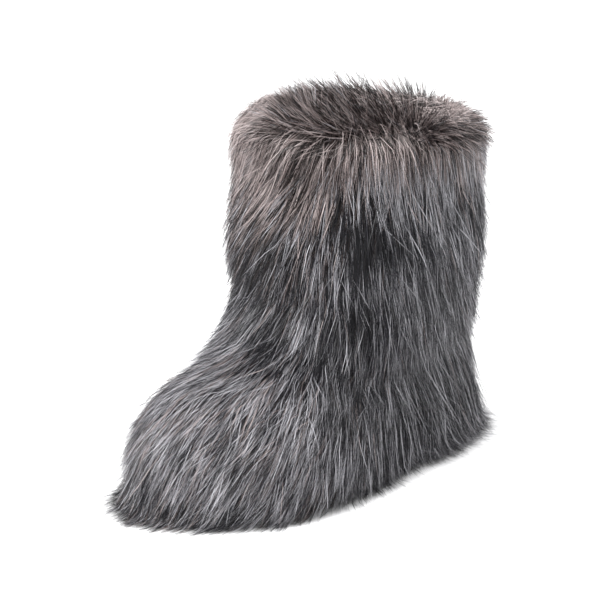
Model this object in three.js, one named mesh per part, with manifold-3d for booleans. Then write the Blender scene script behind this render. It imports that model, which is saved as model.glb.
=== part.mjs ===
// A mid-calf snow boot for the left foot, covered from collar to floor in long-pile faux fur.
// Millimetres, +Z up, the toe towards -Y and the wearer's outer side towards +X. The origin is on
// the floor, in the middle of the box round the whole boot.
//
// The boot is made as its maker would: a moulded rubber sole, a fabric upper lasted onto it with
// its lower edge turned in, a footbed, and three fur pieces over the upper. The foot fur reaches
// from the floor to a seam round the ankle, the shaft fur from there to the top, and the collar
// fur wraps over the rim and down inside. Deep pile is a wall with locks fused on.
import * as THREE from "three";
import { mergeVertices } from "three/addons/utils/BufferGeometryUtils.js";
import Module from "manifold-3d";

// Sole
const SOLE_LENGTH = 268;
const BALL_WIDTH = 104;
const HEEL_STACK = 26;
const FOREFOOT_STACK = 18;
const TOE_SPRING = 7;
const ARCH_RISE = 4;
const HEEL_BEVEL = 3;
const TREAD_DEPTH = 3;
const TREAD_GAP = 5;
const TREAD_PITCH = 17;
const TREAD_SWEEP = 20;
const SIDE_GROOVE_DEPTH = 1.4;
const SOLE_LIP = 3;

// Upper
const UPPER_WALL = 3;
const LASTING_MARGIN = 12;
const ANKLE_HEIGHT = 104;
const COLLAR_HEIGHT = 212;
const COLLAR_DEPTH = 150;
const COLLAR_WIDTH = 124;
const COLLAR_SETBACK = 6;
const COLLAR_PITCH = 10;

// Footbed
const INSOLE_THICKNESS = 5;

// Fur
const FOOT_PILE = 23;
const SHAFT_PILE = 26;
const COLLAR_PILE = 29;
const LINING_PILE = 7;
const COLLAR_FUR_DROP = 34;
const COLLAR_FUR_INSIDE = 30;
const COLLAR_FUR_RISE = 14;
const FUR_FLOOR_GAP = 2;
const LOCK_LENGTH = 60;
const LOCK_WIDTH = 31;
const LOCK_THICKNESS = 9;
const CROWN_LENGTH = 34;
const CROWN_DROOP = 20;

// The gap that pieces keep where they meet
const CLEARANCE = 0.3;

// Points round each section, an even number. Point 0 is at the back, and they run by the outer side.
const AROUND = 36;

// Where the tread changes, as shares of the sole's length from the heel.
const BEVEL_END = 0.07;
const ARCH_START = 0.27;
const ARCH_END = 0.52;
const SPRING_START = 0.76;
const ARCH_RAMP = 0.08;

// Where the sole's top runs down from the heel's height to the forefoot's, as such shares, and
// how much of the toe spring it follows.
const STACK_START = 0.2;
const STACK_END = 0.62;
const TOP_SPRING = 0.7;

// The outline of a foot and of a leg, by the same 14 places. along is a share of the section's
// length from the back, across a share of its half width, positive on the outer side, and turn
// the place's angle on the leg's oval in degrees.
const OUTLINE = [
  { along: 0.0, across: 0.0, turn: 0 },
  { along: 0.04, across: 0.54, turn: 28 },
  { along: 0.16, across: 0.78, turn: 54 },
  { along: 0.4, across: 0.86, turn: 82 },
  { along: 0.68, across: 1.0, turn: 108 },
  { along: 0.87, across: 0.86, turn: 134 },
  { along: 0.97, across: 0.47, turn: 158 },
  { along: 1.0, across: -0.12, turn: 182 },
  { along: 0.965, across: -0.62, turn: 205 },
  { along: 0.86, across: -0.92, turn: 228 },
  { along: 0.7, across: -1.0, turn: 253 },
  { along: 0.43, across: -0.76, turn: 279 },
  { along: 0.17, across: -0.75, turn: 306 },
  { along: 0.04, across: -0.52, turn: 332 },
];

// Sections of the foot, up from the sole. rise is a share of ANKLE_HEIGHT, back and front are
// shares of the upper's length from the heel, side is a share of half its ball width, leg says
// how far the outline has turned from a foot's into a leg's, and pile is a share of FOOT_PILE.
const FOOT_SECTIONS = [
  { rise: 0.0, back: 0.018, front: 0.988, side: 0.955, leg: 0.0, pile: 1.02 },
  { rise: 0.06, back: 0.004, front: 0.998, side: 1.0, leg: 0.0, pile: 1.05 },
  { rise: 0.17, back: 0.0, front: 1.0, side: 1.015, leg: 0.0, pile: 1.06 },
  { rise: 0.29, back: 0.0, front: 0.984, side: 0.985, leg: 0.02, pile: 1.04 },
  { rise: 0.375, back: 0.002, front: 0.945, side: 0.93, leg: 0.07, pile: 1.0 },
  { rise: 0.445, back: 0.006, front: 0.882, side: 0.875, leg: 0.15, pile: 0.96 },
  { rise: 0.52, back: 0.011, front: 0.804, side: 0.84, leg: 0.26, pile: 0.94 },
  { rise: 0.61, back: 0.018, front: 0.736, side: 0.84, leg: 0.42, pile: 0.94 },
  { rise: 0.72, back: 0.026, front: 0.68, side: 0.865, leg: 0.6, pile: 0.98 },
  { rise: 0.85, back: 0.033, front: 0.634, side: 0.91, leg: 0.8, pile: 1.04 },
  { rise: 1.0, back: 0.037, front: 0.602, side: 0.97, leg: 1.0, pile: 1.12 },
];

// Sections of the shaft, up from the ankle. climb is a share of the way to the collar, spread
// says how far the section has grown from the ankle's size to the collar's, and pile is a share of
// SHAFT_PILE.
const SHAFT_SECTIONS = [
  { climb: 0.32, spread: 0.4, pile: 1.12 },
  { climb: 0.58, spread: 0.7, pile: 1.08 },
  { climb: 1.0, spread: 1.0, pile: 1.0 },
];

// The side of the sole, from the tread up. up is a share of the local thickness, inset a share of
// SIDE_GROOVE_DEPTH.
const SOLE_SIDE = [
  { up: 0.0, inset: 1.2 },
  { up: 0.07, inset: 0.0 },
  { up: 0.3, inset: 0.0 },
  { up: 0.36, inset: 1.0 },
  { up: 0.44, inset: 1.0 },
  { up: 0.5, inset: 0.0 },
  { up: 0.64, inset: 0.0 },
  { up: 0.7, inset: 1.0 },
  { up: 0.78, inset: 1.0 },
  { up: 0.84, inset: 0.0 },
  { up: 1.0, inset: 0.0 },
];

// The collar fur's band, from its lower edge outside, over the rim, to its lower edge inside.
// drop and rise are shares of COLLAR_FUR_DROP and COLLAR_FUR_RISE, and out one of COLLAR_PILE.
const COLLAR_OUTSIDE = [
  { drop: 0.45, rise: 0.0, out: 1.0 },
  { drop: 0.0, rise: 0.1, out: 0.84 },
  { drop: 0.0, rise: 0.85, out: 0.4 },
  { drop: 0.0, rise: 1.0, out: 0.0 },
];

// A lock from its root to its tip. share is of its length, width of LOCK_WIDTH, and stand is how
// far its underside lies off the pile, as a share of LOCK_THICKNESS.
const LOCK_SHAPE = [
  { share: 0.0, width: 0.9, stand: -0.95 },
  { share: 0.4, width: 1.0, stand: -0.25 },
  { share: 1.0, width: 0.0, stand: 0.4 },
];

// Rows of locks round the foot and the shaft. row is the section where the roots are, count how
// many go round, shift the place of the first one in steps, size a share of LOCK_LENGTH, and lean
// how strongly they turn towards the toe.
const FOOT_LOCKS = [
  { row: 1.7, count: 19, shift: 0.0, size: 0.8, lean: 0.5 },
  { row: 3.7, count: 16, shift: 0.5, size: 0.95, lean: 0.8 },
  { row: 6.2, count: 13, shift: 0.0, size: 1.0, lean: 0.9 },
  { row: 8.8, count: 11, shift: 0.5, size: 0.85, lean: 0.6 },
];
const SHAFT_LOCKS = [
  { row: 10.7, count: 13, shift: 0.0, size: 0.75, lean: 0.15 },
  { row: 11.7, count: 12, shift: 0.5, size: 0.85, lean: 0.1 },
  { row: 12.7, count: 12, shift: 0.0, size: 0.85, lean: 0.05 },
];

// Rows of locks that stand round the collar's crown. ring is a place on its band, turn the angle
// above level at which they leave it, and size a share of CROWN_LENGTH.
const CROWN_LOCKS = [
  { ring: 0.8, turn: 94, count: 14, shift: 0.0, size: 1.1 },
  { ring: 2.3, turn: 100, count: 12, shift: 0.5, size: 0.95 },
  { ring: 3.8, turn: 98, count: 9, shift: 0.2, size: 0.8 },
];

// How much the locks of a row differ in length.
const LOCK_UNEVEN = 0.14;

const upperLength = SOLE_LENGTH - 2 * SOLE_LIP;
const halfBall = BALL_WIDTH / 2 - SOLE_LIP;
const wasm = await Module();
wasm.setup();

const clamp01 = (x) => Math.min(Math.max(x, 0), 1);
const smooth = (x) => clamp01(x) ** 2 * (3 - 2 * clamp01(x));
const mix = (a, b, share) => a + (b - a) * share;
const wrap = (i) => ((i % AROUND) + AROUND) % AROUND;

// The share of the way from one place on the sole's length to another that a distance s from the
// heel has gone.
const between = (s, start, end) => clamp01((s / SOLE_LENGTH - start) / (end - start));

// Heights of the tread and of the sole's top at a distance s from the heel.
function treadHeight(s) {
  const toe = TOE_SPRING * between(s, SPRING_START, 1) ** 2;
  const heel = HEEL_BEVEL * between(s, BEVEL_END, 0) ** 2;
  const rising = smooth(between(s, ARCH_START, ARCH_START + ARCH_RAMP));
  const falling = smooth(between(s, ARCH_END, ARCH_END - ARCH_RAMP));
  return toe + heel + ARCH_RISE * rising * falling;
}

function soleTop(s) {
  const stack = mix(HEEL_STACK, FOREFOOT_STACK, smooth(between(s, STACK_START, STACK_END)));
  return stack + TOP_SPRING * TOE_SPRING * between(s, SPRING_START, 1) ** 2;
}

// A closed section as AROUND points {s, x}: a smooth curve through the 14 places of OUTLINE.
function section({ back, front, side, leg }) {
  const places = OUTLINE.map(({ along, across, turn }) => {
    const angle = THREE.MathUtils.degToRad(turn);
    const alongHere = mix(along, (1 - Math.cos(angle)) / 2, leg);
    const acrossHere = mix(across, Math.sin(angle), leg);
    return new THREE.Vector3(mix(back, front, alongHere), side * acrossHere, 0);
  });
  const curve = new THREE.CatmullRomCurve3(places, true, "centripetal");
  return Array.from({ length: AROUND }, (_, i) => {
    const p = curve.getPoint(i / AROUND);
    return { s: p.x, x: p.y };
  });
}

// Moves each point of a flat ring {s, x} outwards by a distance.
function widened(ring, distance) {
  return ring.map((p, i) => {
    const before = ring[wrap(i - 1)];
    const after = ring[wrap(i + 1)];
    const run = new THREE.Vector2(after.s - before.s, after.x - before.x).normalize();
    return { s: p.s - run.y * distance, x: p.x + run.x * distance };
  });
}

const toPoint = ({ s, x }, z) => new THREE.Vector3(x, -s, z);
const toFlat = (ring) => ring.map((p) => ({ s: -p.y, x: p.x }));
const onSole = (ring, lift) => ring.map((p) => toPoint(p, soleTop(p.s) + lift));
const raised = (ring, dz) => ring.map((p) => new THREE.Vector3(p.x, p.y, p.z + dz));
const spread = (ring, distance) =>
  widened(toFlat(ring), distance).map((p, i) => toPoint(p, ring[i].z));
const blended = (a, b, share) => a.map((p, i) => p.clone().lerp(b[i], share));

// The size of each section of the upper, from the sole to the collar.
function upperSections() {
  const foot = FOOT_SECTIONS.map((row) => ({
    ...row,
    height: row.rise * ANKLE_HEIGHT,
    back: SOLE_LIP + row.back * upperLength,
    front: SOLE_LIP + row.front * upperLength,
    side: row.side * halfBall,
    settled: row.rise ** 2,
    pile: row.pile * FOOT_PILE,
    pitch: 0,
  }));
  const ankle = foot[foot.length - 1];
  const collarBack = SOLE_LIP + COLLAR_SETBACK;
  const shaft = SHAFT_SECTIONS.map(({ climb, spread: grown, pile }) => ({
    height: mix(ANKLE_HEIGHT, COLLAR_HEIGHT, climb),
    back: mix(ankle.back, collarBack, grown),
    front: mix(ankle.front, collarBack + COLLAR_DEPTH, grown),
    side: mix(ankle.side, COLLAR_WIDTH / 2, grown),
    leg: 1,
    settled: 1,
    pile: pile * SHAFT_PILE,
    pitch: COLLAR_PITCH * climb,
  }));
  return [...foot, ...shaft];
}

const sections = upperSections();
const ankleRow = FOOT_SECTIONS.length - 1;
const collarRow = sections.length - 1;
const collarRowHeight = sections[collarRow].height - sections[collarRow - 1].height;

// The outer face of the upper as rows of points. Low rows follow the sole's top, high ones are level.
const outer = sections.map((row) =>
  section(row).map((p) => {
    const base = mix(soleTop(p.s), HEEL_STACK, row.settled);
    const lean = row.pitch * ((p.s - row.back) / (row.front - row.back) - 0.5);
    return toPoint(p, CLEARANCE + base + row.height + lean);
  }),
);

// The outward normal of a grid of rows at each of its points.
function normals(grid) {
  return grid.map((row, j) =>
    row.map((_, i) => {
      const round = new THREE.Vector3().subVectors(row[wrap(i + 1)], row[wrap(i - 1)]);
      const above = grid[Math.min(j + 1, grid.length - 1)][i];
      const below = grid[Math.max(j - 1, 0)][i];
      return new THREE.Vector3().subVectors(above, below).cross(round).normalize();
    }),
  );
}

const outward = normals(outer);
const pushed = (j, distance) =>
  outer[j].map((p, i) => p.clone().addScaledVector(outward[j][i], distance));

// The inside face of the upper's wall, from the lasting margin's top to the rim.
const wallInside = outer.map((_, j) => pushed(j, -UPPER_WALL));
wallInside[0] = onSole(widened(toFlat(outer[0]), -UPPER_WALL), CLEARANCE + UPPER_WALL);
wallInside[collarRow] = spread(outer[collarRow], -UPPER_WALL);

// Triangles between rings of equal length. The last ring is joined to the first if it is a loop,
// and otherwise each end gets a lid of strips across from one side to the other. Walls going up
// and walls going down split their squares alike, so nested walls stay parallel.
function skin(rings, loop) {
  const count = rings[0].length;
  const faces = [];
  const bands = loop ? rings.length : rings.length - 1;
  for (let j = 0; j < bands; j++)
    for (let i = 0; i < count; i++) {
      const [a, b] = [j * count, ((j + 1) % rings.length) * count];
      const next = (i + 1) % count;
      if (rings[(j + 1) % rings.length][i].z >= rings[j][i].z)
        faces.push(a + i, b + next, a + next, a + i, b + i, b + next);
      else faces.push(a + i, b + i, a + next, b + i, b + next, a + next);
    }
  if (!loop)
    for (let i = 0; i < count / 2; i++) {
      const [left, leftNext] = [i, i + 1];
      const [right, rightNext] = [(count - i) % count, count - i - 1];
      const last = (rings.length - 1) * count;
      if (left !== right) faces.push(left, leftNext, right, left + last, right + last, leftNext + last);
      if (leftNext !== rightNext)
        faces.push(leftNext, rightNext, right, leftNext + last, right + last, rightNext + last);
    }
  const geometry = new THREE.BufferGeometry().setFromPoints(rings.flat());
  return geometry.setIndex(faces);
}

// A closed geometry as a solid that can be cut and joined.
function solid(geometry) {
  const bare = geometry.index ? geometry.toNonIndexed() : geometry.clone();
  bare.deleteAttribute("normal");
  bare.deleteAttribute("uv");
  const merged = mergeVertices(bare, 1e-4);
  const made = new wasm.Mesh({
    numProp: 3,
    vertProperties: new Float32Array(merged.attributes.position.array),
    triVerts: new Uint32Array(merged.index.array),
  });
  return new wasm.Manifold(made);
}

function geometryOf(manifold) {
  const made = manifold.getMesh();
  return new THREE.BufferGeometry()
    .setAttribute("position", new THREE.BufferAttribute(made.vertProperties, made.numProp))
    .setIndex(new THREE.BufferAttribute(made.triVerts, 1));
}

const joined = (solids) => solids.reduce((all, one) => all.add(one));

const soleOutline = section({ back: 0, front: SOLE_LENGTH, side: BALL_WIDTH / 2, leg: 0 });

// The moulded sole: its outline carried up the side's steps, with slots cut across the tread
// of the heel and the forefoot.
function makeSole() {
  const rings = SOLE_SIDE.map(({ up, inset: share }) =>
    widened(soleOutline, -share * SIDE_GROOVE_DEPTH).map((p) =>
      toPoint(p, mix(treadHeight(p.s), soleTop(p.s), up)),
    ),
  );
  const block = solid(skin(rings, false));
  const slots = Math.floor(SOLE_LENGTH / TREAD_PITCH);
  const outsideArch = (s) => s < ARCH_START * SOLE_LENGTH || s > ARCH_END * SOLE_LENGTH;
  return Array.from({ length: slots }, (_, k) => (k + 0.5) * TREAD_PITCH)
    .filter(outsideArch)
    .reduce((sole, s) => sole.subtract(treadSlot(s)), block);
}

// A V-shaped slot across the tread at a distance s from the heel, open at both sides.
function treadSlot(s) {
  const reach = BALL_WIDTH;
  const sweep = (TREAD_SWEEP * reach) / (BALL_WIDTH / 2);
  const half = TREAD_GAP / 2;
  const shape = new THREE.Shape([
    new THREE.Vector2(-reach, -s - sweep - half),
    new THREE.Vector2(0, -s - half),
    new THREE.Vector2(reach, -s - sweep - half),
    new THREE.Vector2(reach, -s - sweep + half),
    new THREE.Vector2(0, -s + half),
    new THREE.Vector2(-reach, -s - sweep + half),
  ]);
  const depth = 2 * TREAD_DEPTH + treadHeight(s);
  const cut = new THREE.ExtrudeGeometry(shape, { depth, bevelEnabled: false });
  return solid(cut.translate(0, 0, -TREAD_DEPTH));
}

// The upper: one wall from the turned-in lasting margin up to the collar, open at both ends.
function makeUpper() {
  const margin = widened(toFlat(outer[0]), -LASTING_MARGIN);
  const lip = [CLEARANCE, CLEARANCE + UPPER_WALL].map((lift) => onSole(margin, lift));
  return solid(skin([lip[0], ...outer, ...[...wallInside].reverse(), lip[1]], true));
}

// The footbed lies on the lasting margin, inside the upper's wall.
function makeInsole() {
  const seat = UPPER_WALL + 2 * CLEARANCE;
  const edge = widened(toFlat(wallInside[0]), -2 * CLEARANCE);
  return solid(skin([onSole(edge, seat), onSole(edge, seat + INSOLE_THICKNESS)], false));
}

// The inside face of the fur: just off the upper, and below it straight down past the sole.
const furFoot = widened(soleOutline, 2 * CLEARANCE);
const furInside = [
  furFoot.map((p) => toPoint(p, FUR_FLOOR_GAP)),
  onSole(furFoot, CLEARANCE),
  ...outer.slice(2).map((_, j) => pushed(j + 2, CLEARANCE)),
];
const furNormals = normals(furInside);
furNormals[0].forEach((n) => n.setZ(0).normalize());

// The outside face of the fur, with a depth of pile for each row.
const furOutside = (pile) =>
  furInside.map((row, j) =>
    row.map((p, i) => p.clone().addScaledVector(furNormals[j][i], pile(sections[j]))),
  );
const footFace = furOutside((row) => row.pile);
const shaftFace = furOutside((row) => Math.max(row.pile, SHAFT_PILE));

// A place on a face of rows, between its rows and its points, with its outward, downward and
// round directions and how far apart the rows and the points are there.
function placeOn(face, row, around) {
  const j = Math.min(Math.floor(row), face.length - 2);
  const i = Math.floor(around);
  const [v, u] = [row - j, around - i];
  const low = face[j][wrap(i)].clone().lerp(face[j][wrap(i + 1)], u);
  const high = face[j + 1][wrap(i)].clone().lerp(face[j + 1][wrap(i + 1)], u);
  const round = new THREE.Vector3().subVectors(face[j][wrap(i + 1)], face[j][wrap(i)]);
  const down = new THREE.Vector3().subVectors(low, high);
  const [stride, rise] = [round.length(), down.length()];
  round.normalize();
  down.normalize();
  const out = new THREE.Vector3().crossVectors(round, down).normalize();
  return { at: low.lerp(high, v), out, down, round, stride, rise };
}

// Where a hair comes to that lies on a face: a walk of some length from its root, down the face
// and towards the toe by lean. Past the lowest row it goes on outwards, along the floor.
function combed(face, row, around, length, lean) {
  const steps = 12;
  let spot = placeOn(face, row, around);
  let flow = spot.down;
  for (let k = 0; k < steps; k++) {
    const ahead = new THREE.Vector3(0, -lean, 0);
    flow = spot.down.clone().addScaledVector(spot.round, ahead.dot(spot.round));
    flow.addScaledVector(spot.down, ahead.dot(spot.down)).normalize();
    const step = length / steps;
    row -= (step * flow.dot(spot.down)) / spot.rise;
    around += (step * flow.dot(spot.round)) / spot.stride;
    if (row <= 0) {
      const left = length * (1 - (k + 1) / steps) - row * spot.rise;
      const edge = placeOn(face, 0, around);
      return { at: edge.at.addScaledVector(edge.out, left), out: edge.down.negate(), flow: edge.out };
    }
    spot = placeOn(face, row, around);
  }
  return { at: spot.at, out: spot.out, flow };
}

// One lock of fur: a pointed flame with a ridge along its middle and a flat underside. Its path
// gives the place, the outward direction and the way that it runs at a distance from its root.
function lock(path, length) {
  const rings = LOCK_SHAPE.map(({ share, width, stand }) => {
    const { at, out, flow } = path(share * length);
    const side = new THREE.Vector3().crossVectors(out, flow).normalize();
    const away = new THREE.Vector3().crossVectors(flow, side).normalize();
    const middle = at.clone().addScaledVector(away, stand * LOCK_THICKNESS);
    const half = (LOCK_WIDTH * width) / 2;
    return [
      middle.clone().addScaledVector(side, half),
      middle.clone().addScaledVector(away, LOCK_THICKNESS * width),
      middle.clone().addScaledVector(side, -half),
    ];
  });
  const points = rings.flat();
  points.forEach((p) => p.setZ(Math.max(p.z, FUR_FLOOR_GAP)));
  const faces = [0, 2, 1];
  for (let k = 0; k < rings.length - 1; k++)
    for (let i = 0; i < 3; i++) {
      const [a, b, next] = [k * 3, (k + 1) * 3, (i + 1) % 3];
      faces.push(a + i, a + next, b + next, a + i, b + next, b + i);
    }
  const whole = new THREE.BufferGeometry().setFromPoints(points).setIndex(faces);
  return solid(withoutPoints(whole));
}

// Drops the faces that have shrunk to a line where a lock comes to its point.
function withoutPoints(geometry) {
  const merged = mergeVertices(geometry, 1e-3);
  const index = Array.from(merged.index.array);
  const kept = [];
  for (let k = 0; k < index.length; k += 3) {
    const [a, b, c] = index.slice(k, k + 3);
    if (a !== b && b !== c && c !== a) kept.push(a, b, c);
  }
  return merged.setIndex(kept);
}

// The length of the k-th lock of a row, from the length that they have on average.
const uneven = (length, k) => length * (1 + LOCK_UNEVEN * Math.sin(k * 2.4));

function locksOn(face, rows) {
  return rows.flatMap(({ row, count, shift, size, lean }) =>
    Array.from({ length: count }, (_, k) => {
      const around = ((k + shift) * AROUND) / count;
      const path = (distance) => combed(face, row, around, distance, lean);
      return lock(path, uneven(LOCK_LENGTH * size, k));
    }),
  );
}

// A wall of fur between two rows of a face.
function furWall(face, low, high) {
  const rings = [...face.slice(low, high + 1), ...furInside.slice(low, high + 1).reverse()];
  return solid(skin(rings, true));
}

function makeFootFur() {
  return joined([furWall(footFace, 0, ankleRow), ...locksOn(footFace, FOOT_LOCKS)]);
}

// The foot fur's wall with the clearance that the shaft fur keeps to it.
function footFurRoom() {
  const rings = footFace.slice(0, ankleRow + 1).map((row, j) =>
    row.map((p, i) => p.clone().addScaledVector(furNormals[j][i], CLEARANCE)),
  );
  const room = [...rings, ...furInside.slice(0, ankleRow + 1).reverse()];
  return solid(skin(room.map((ring) => raised(ring, CLEARANCE / 2)), true));
}

// The shaft fur stops at the collar fur's lower edge, so its last row is drawn down to there.
const drawnDown = (grid) => [
  ...grid.slice(0, collarRow),
  blended(grid[collarRow], grid[collarRow - 1], COLLAR_FUR_DROP / collarRowHeight),
];
const shaftInside = drawnDown(furInside);
const shaftOutside = drawnDown(shaftFace);

function makeShaftFur() {
  const rings = [...shaftOutside.slice(ankleRow), ...shaftInside.slice(ankleRow).reverse()];
  const wall = solid(skin(rings.map((ring) => raised(ring, CLEARANCE)), true));
  return joined([wall, ...locksOn(shaftOutside, SHAFT_LOCKS)]).subtract(footFurRoom());
}

// The collar fur: outside the rim, over it and down inside, as one rounded band with locks that
// stand up and out round its crown.
function makeCollarFur() {
  const rim = furInside[collarRow];
  const rimInside = spread(wallInside[collarRow], -CLEARANCE);
  const reach = COLLAR_FUR_INSIDE / collarRowHeight;
  const lowInside = spread(
    blended(wallInside[collarRow], wallInside[collarRow - 1], reach),
    -2 * CLEARANCE,
  );
  const outside = COLLAR_OUTSIDE.map(({ drop, rise, out }) =>
    raised(spread(rim, COLLAR_PILE * out), COLLAR_FUR_RISE * rise - COLLAR_FUR_DROP * drop),
  );
  const rings = [
    raised(shaftOutside[collarRow], 2 * CLEARANCE),
    ...outside,
    raised(spread(rimInside, -0.8 * LINING_PILE), COLLAR_FUR_RISE * 0.4),
    spread(blended(rimInside, lowInside, 0.5), -LINING_PILE),
    spread(lowInside, -0.7 * LINING_PILE),
    lowInside,
    raised(rimInside, CLEARANCE),
    raised(rim, CLEARANCE),
    raised(shaftInside[collarRow], 2 * CLEARANCE),
  ];
  return joined([solid(skin(rings, true)), ...crownLocks(rings)]);
}

// Locks that leave the collar's band at an angle above level and droop outwards as they go.
function crownLocks(rings) {
  return CROWN_LOCKS.flatMap(({ ring, turn, count, shift, size }) =>
    Array.from({ length: count }, (_, k) => {
      const root = placeOn(rings, ring, ((k + shift) * AROUND) / count);
      const level = root.round.clone().cross(new THREE.Vector3(0, 0, -1)).setZ(0).normalize();
      const length = uneven(CROWN_LENGTH * size, k);
      const path = (distance) => {
        const angle = THREE.MathUtils.degToRad(turn - (CROWN_DROOP * distance) / length);
        const flow = level.clone().multiplyScalar(Math.cos(angle)).setZ(Math.sin(angle));
        const out = level.clone().multiplyScalar(Math.sin(angle)).setZ(-Math.cos(angle));
        return { at: root.at.clone().addScaledVector(flow, distance - LOCK_THICKNESS), out, flow };
      };
      return lock(path, length);
    }),
  );
}

const FINISHES = {
  rubber: { color: 0x2b2a2c, roughness: 0.85, metalness: 0 },
  footbed: { color: 0x6e6763, roughness: 0.95, metalness: 0 },
  backing: { color: 0x3a3639, roughness: 0.95, metalness: 0 },
  furFoot: { color: 0x6b6a72, roughness: 0.8, metalness: 0 },
  furShaft: { color: 0x66646a, roughness: 0.8, metalness: 0 },
  furCollar: { color: 0x5a5050, roughness: 0.8, metalness: 0 },
};

const PIECES = {
  outsole: [makeSole, FINISHES.rubber],
  insole: [makeInsole, FINISHES.footbed],
  upper: [makeUpper, FINISHES.backing],
  foot_fur: [makeFootFur, FINISHES.furFoot],
  shaft_fur: [makeShaftFur, FINISHES.furShaft],
  collar_fur: [makeCollarFur, FINISHES.furCollar],
};

const boot = new THREE.Group();
for (const [name, [make, finish]] of Object.entries(PIECES)) {
  const mesh = new THREE.Mesh(geometryOf(make()), new THREE.MeshStandardMaterial(finish));
  mesh.name = name;
  boot.add(mesh);
}

// The origin goes on the floor in the middle of the boot's box.
const box = new THREE.Box3().setFromObject(boot);
const middle = box.getCenter(new THREE.Vector3());
boot.position.set(-middle.x, -middle.y, -box.min.z);

export default boot;
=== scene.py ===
# %% [markdown]
# # A snow boot in long faux fur
#
# The real boot is a fabric upper on a moulded rubber sole, covered from collar to floor in long
# faux fur. The fur is what the eye sees: silver and charcoal hairs, 40 to 60 mm long, that hang
# down the shaft, run forward over the foot, and turn brown towards the collar, where they are
# swept over the rim.
#
# Blender could grow such hair with its particle or curve hair. Here each hair is a thin tapered
# strip of mesh instead, worked out with numpy, because a mesh can be exported, and because a few
# short formulas say which way every hair lies.

# %% Tools
import math

import bpy
import numpy as np
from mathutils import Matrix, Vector


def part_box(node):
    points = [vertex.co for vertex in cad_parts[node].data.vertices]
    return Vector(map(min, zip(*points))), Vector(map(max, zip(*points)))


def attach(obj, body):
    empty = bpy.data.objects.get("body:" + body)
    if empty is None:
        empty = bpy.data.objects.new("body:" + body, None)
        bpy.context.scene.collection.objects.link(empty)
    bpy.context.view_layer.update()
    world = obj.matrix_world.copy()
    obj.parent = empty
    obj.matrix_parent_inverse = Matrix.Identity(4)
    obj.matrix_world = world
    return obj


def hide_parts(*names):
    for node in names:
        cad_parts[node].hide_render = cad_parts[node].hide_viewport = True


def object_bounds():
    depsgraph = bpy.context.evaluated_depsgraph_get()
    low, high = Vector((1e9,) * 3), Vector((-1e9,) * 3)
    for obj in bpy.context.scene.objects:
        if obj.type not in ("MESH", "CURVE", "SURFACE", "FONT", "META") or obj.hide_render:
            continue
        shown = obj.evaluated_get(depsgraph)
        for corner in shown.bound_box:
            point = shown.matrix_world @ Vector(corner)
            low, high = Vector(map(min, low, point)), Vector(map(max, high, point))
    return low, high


# %% [markdown]
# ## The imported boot
#
# The CAD model comes in as a fixed frame. Its sole, footbed and fabric upper stay and get better
# materials. Its three fur solids are replaced by hair and by the dense wool under it.

# %% Load the frame and read its sizes
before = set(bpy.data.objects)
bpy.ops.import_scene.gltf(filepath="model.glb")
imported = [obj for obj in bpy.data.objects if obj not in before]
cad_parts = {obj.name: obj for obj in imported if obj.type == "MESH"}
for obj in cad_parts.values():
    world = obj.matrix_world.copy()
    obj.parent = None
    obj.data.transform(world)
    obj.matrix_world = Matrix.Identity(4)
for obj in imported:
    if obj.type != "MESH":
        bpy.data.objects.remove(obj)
cad_box = [list(corner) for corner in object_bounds()]
MM = 0.001
sole_low, sole_high = (np.array(corner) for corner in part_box("outsole"))
SOLE_LENGTH = sole_high[1] - sole_low[1]
HALF_BALL = (sole_high[0] - sole_low[0]) / 2
MIDDLE_X = (sole_high[0] + sole_low[0]) / 2
HEEL_Y = sole_high[1]
HEEL_STACK = sole_high[2]
print("sole", np.round((SOLE_LENGTH, 2 * HALF_BALL, HEEL_STACK), 4), "m")

# %% [markdown]
# ## Camera
#
# The photograph looks at the boot's outer side and a little at its toe, from slightly above. A
# long lens from 1.5 m keeps the sides nearly parallel, as they are in the photograph.

# %% Camera
AZIMUTH = math.radians(40.76)
ELEVATION = math.radians(16.32)
TARGET = Vector((-0.008, -0.007, 0.124))
DISTANCE = 1.5
camera_data = bpy.data.cameras.new("camera")
camera_data.lens = 124.11
camera_data.sensor_width = 36
camera = bpy.data.objects.new("camera", camera_data)
bpy.context.collection.objects.link(camera)
back = Vector((
    math.sin(AZIMUTH) * math.cos(ELEVATION),
    -math.cos(AZIMUTH) * math.cos(ELEVATION),
    math.sin(ELEVATION),
))
camera.location = TARGET + back * DISTANCE
camera.rotation_euler = back.to_track_quat("Z", "Y").to_euler()
bpy.context.scene.camera = camera
print("camera at", np.round(camera.location, 3))

# %% [markdown]
# ## The upper's surface
#
# The fur grows on the upper, so everything starts from the upper's surface. It is a grid of two
# parameters: row, which climbs from the floor to the collar, and turn, which goes once round from
# the heel by the outer side. Each row is the outline of the last at one height. Low rows have the
# outline of the sole and high ones an oval.

# %% Tables of the last
OUTLINE = np.array([  # place along the sole, place across it, turn of the oval in degrees
    (0, 0, 0), (0.04, 0.54, 28), (0.16, 0.78, 54), (0.4, 0.86, 82), (0.68, 1, 108),
    (0.87, 0.86, 134), (0.97, 0.47, 158), (1, -0.12, 182), (0.965, -0.62, 205),
    (0.86, -0.92, 228), (0.7, -1, 253), (0.43, -0.76, 279), (0.17, -0.75, 306),
    (0.04, -0.52, 332),
])
FOOT_ROWS = np.array([  # height share, back, front, half width, share of oval
    (0.17, 0, 1, 1.015, 0), (0.29, 0, 0.984, 0.985, 0.02), (0.375, 0.002, 0.945, 0.93, 0.07),
    (0.445, 0.006, 0.882, 0.875, 0.15), (0.52, 0.011, 0.804, 0.84, 0.26),
    (0.61, 0.018, 0.736, 0.84, 0.42), (0.72, 0.026, 0.68, 0.865, 0.6),
    (0.85, 0.033, 0.634, 0.91, 0.8), (1, 0.037, 0.602, 0.97, 1),
])
SHAFT_ROWS = np.array([(0.32, 0.4), (0.58, 0.7), (1, 1)])  # climb, growth from ankle to collar
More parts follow.
